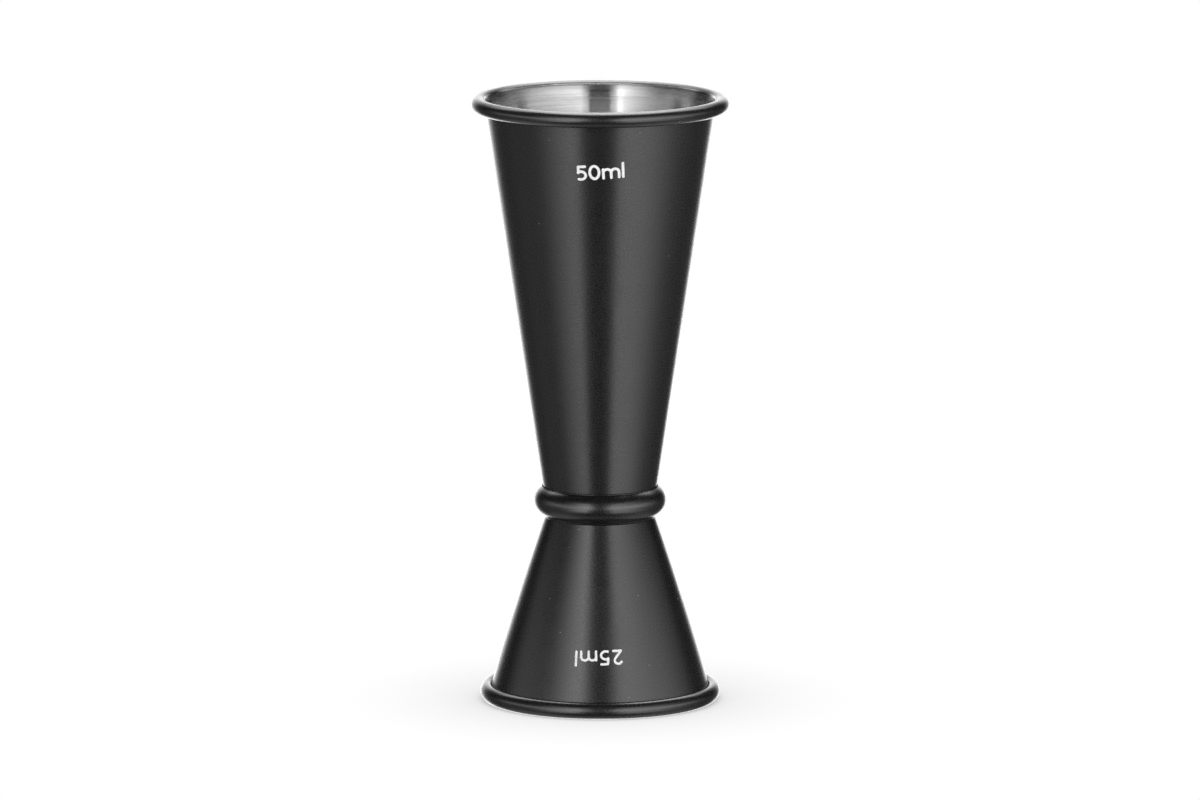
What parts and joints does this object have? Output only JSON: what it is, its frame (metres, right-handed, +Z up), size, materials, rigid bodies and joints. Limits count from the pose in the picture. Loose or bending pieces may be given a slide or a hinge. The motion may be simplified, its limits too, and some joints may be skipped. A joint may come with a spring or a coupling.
{
  "type": "bar jigger",
  "caption": "Double-ended spirit measure: two tapered metal cups joined back to back at a banded waist, rolled rims, satin black outside, bare brushed steel inside.",
  "frame": {"origin": "centre of the circle on which the small cup's mouth stands, on the common axis", "axes": "+Z up the common axis from the small mouth (foot) to the large mouth; -Y is the side that carries the capacity marks"},
  "size_m": [0.0474, 0.0472, 0.112],
  "materials": {
    "black_paint": "satin black paint on stainless steel; the inside of each cup, from the lip down, is bare brushed steel",
    "collar_paint": "satin black paint",
    "bare_steel": "bare stainless steel"
  },
  "bodies": {
    "root": {"large_cup": "black_paint", "small_cup": "black_paint", "waist_collar": "collar_paint", "floor_spot_welds": "bare_steel"}
  },
  "joints": []
}
